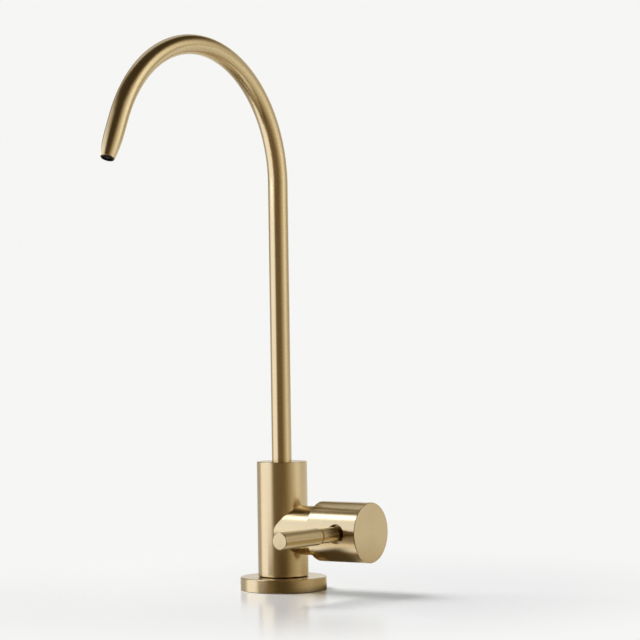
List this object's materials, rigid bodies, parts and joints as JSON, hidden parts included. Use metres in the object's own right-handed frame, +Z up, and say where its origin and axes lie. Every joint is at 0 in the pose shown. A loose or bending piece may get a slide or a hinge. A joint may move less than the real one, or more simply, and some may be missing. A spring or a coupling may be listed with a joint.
{
  "type": "drinking-water tap",
  "caption": "Deck-mounted drinking-water tap with a swivelling gooseneck spout, a side quarter-turn knob with a rod lever, a round base flange and a threaded shank with a push-in inlet.",
  "frame": {"origin": "centre of the base on the deck's surface, on the column's axis", "axes": "+Z up along the column, -Y towards the user and the spout's outlet, +X along the valve's axis to the knob"},
  "size_m": [0.0909, 0.1898, 0.4142],
  "materials": {
    "brushed_gold": "satin, fine brushed",
    "brass": "machined",
    "stainless": "rolled",
    "black_plastic": "moulded",
    "rubber": "matt",
    "white_nylon": "matt",
    "ceramic": "lapped",
    "white_acetal": "moulded",
    "grey_acetal": "moulded"
  },
  "bodies": {
    "base": {"tap_body": "brushed_gold", "body_base_ring": "black_plastic", "base_flange": "brushed_gold", "flange_gasket": "rubber", "seat_seal": "rubber", "fixed_disc": "ceramic", "cartridge_housing": "brass", "cartridge_o_ring": "rubber", "spindle_thrust_washer": "white_nylon", "bonnet_nut": "brass", "shank": "brass", "inlet_adapter": "white_acetal", "shank_seal": "rubber", "adapter_o_ring": "rubber"},
    "spout": {"spout_tube": "brushed_gold", "stream_straightener": "black_plastic", "spout_stem": "brass", "spout_o_ring_lower": "rubber", "spout_o_ring_upper": "rubber", "spout_retaining_ring": "white_nylon"},
    "handle": {"knob_shell": "brushed_gold", "handle_hub": "brass", "hub_screw": "stainless", "lever": "brushed_gold", "valve_spindle": "brass", "moving_disc": "ceramic", "spindle_o_ring_inner": "rubber", "spindle_o_ring_outer": "rubber", "stop_ring": "brass", "spindle_clip": "stainless"},
    "deck_clamp": {"clamp_rubber_washer": "rubber", "clamp_steel_washer": "stainless", "clamp_lock_washer": "stainless", "mounting_nut": "brass"},
    "collet": {"adapter_collet": "grey_acetal"}
  },
  "joints": [
    {"name": "spout_swivel", "type": "hinge", "parent": "base", "child": "spout", "pos_m": [0, 0, 0.066], "axis": [0, 0, 1], "continuous": true},
    {"name": "handle_turn", "type": "hinge", "parent": "base", "child": "handle", "pos_m": [0.03, 0, 0.0364], "axis": [-1, 0, 0], "range_deg": [0, 90]},
    {"name": "deck_clamp_slide", "type": "slide", "parent": "base", "child": "deck_clamp", "axis": [0, 0, 1], "range_m": [-0.026, 0.011]},
    {"name": "collet_release", "type": "slide", "parent": "base", "child": "collet", "axis": [0, 0, 1], "range_m": [0, 0.0012]}
  ]
}
